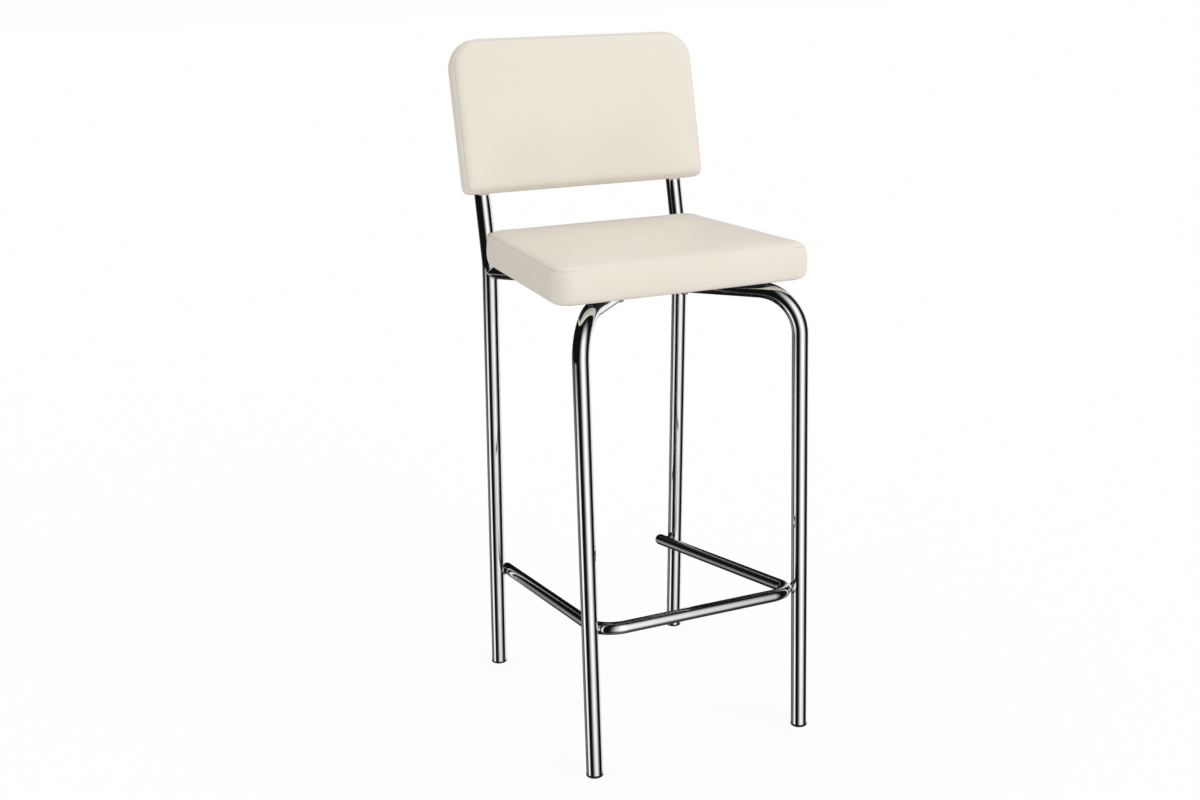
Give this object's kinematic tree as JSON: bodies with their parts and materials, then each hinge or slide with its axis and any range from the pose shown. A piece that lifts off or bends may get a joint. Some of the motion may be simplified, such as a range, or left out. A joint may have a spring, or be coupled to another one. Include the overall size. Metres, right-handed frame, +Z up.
{
  "type": "bar stool",
  "caption": "Fixed bar-height stool with a low padded back, chromed bent-tube legs, a sloping U-shaped footrest and cream boxed pads.",
  "frame": {"origin": "on the floor, at the middle of the whole stool in plan", "axes": "+Z up, and the sitter faces -Y. Left in the node names is -X, as seen from in front of the stool"},
  "size_m": [0.422, 0.4906, 1.065],
  "materials": {
    "chrome_tube": "polished chrome plating",
    "cream_leatherette": "smooth matte leatherette with a fine grain",
    "padding_foam": "open-cell upholstery foam",
    "birch_ply": "unfinished birch plywood",
    "black_plastic": "moulded polyethylene, fine texture",
    "black_lining": "non-woven dust cloth",
    "zinc_steel": "bright zinc plating"
  },
  "bodies": {
    "root": {"front_right_leg_tube": "chrome_tube", "front_left_leg_tube": "chrome_tube", "rear_right_seat_arm": "chrome_tube", "footrest_tube": "chrome_tube", "rear_left_leg_tube": "chrome_tube", "rear_right_leg_tube": "chrome_tube", "front_left_glide": "black_plastic", "front_right_glide": "black_plastic", "rear_left_glide": "black_plastic", "rear_right_glide": "black_plastic", "back_tube_plug_left": "black_plastic", "back_tube_plug_right": "black_plastic", "footrest_end_plug_left": "black_plastic", "footrest_end_plug_right": "black_plastic", "seat_cover": "cream_leatherette", "back_cover": "cream_leatherette", "seat_foam": "padding_foam", "back_foam": "padding_foam", "seat_board": "birch_ply", "back_board": "birch_ply", "seat_underside_lining": "black_lining", "seat_screw_1": "zinc_steel", "seat_screw_2": "zinc_steel", "seat_screw_3": "zinc_steel", "seat_screw_4": "zinc_steel", "seat_tee_nut_1": "zinc_steel", "seat_tee_nut_2": "zinc_steel", "seat_tee_nut_3": "zinc_steel", "seat_tee_nut_4": "zinc_steel", "back_screw_1": "zinc_steel", "back_screw_2": "zinc_steel", "back_screw_3": "zinc_steel", "back_screw_4": "zinc_steel", "back_tee_nut_1": "zinc_steel", "back_tee_nut_2": "zinc_steel", "back_tee_nut_3": "zinc_steel", "back_tee_nut_4": "zinc_steel"}
  },
  "joints": []
}
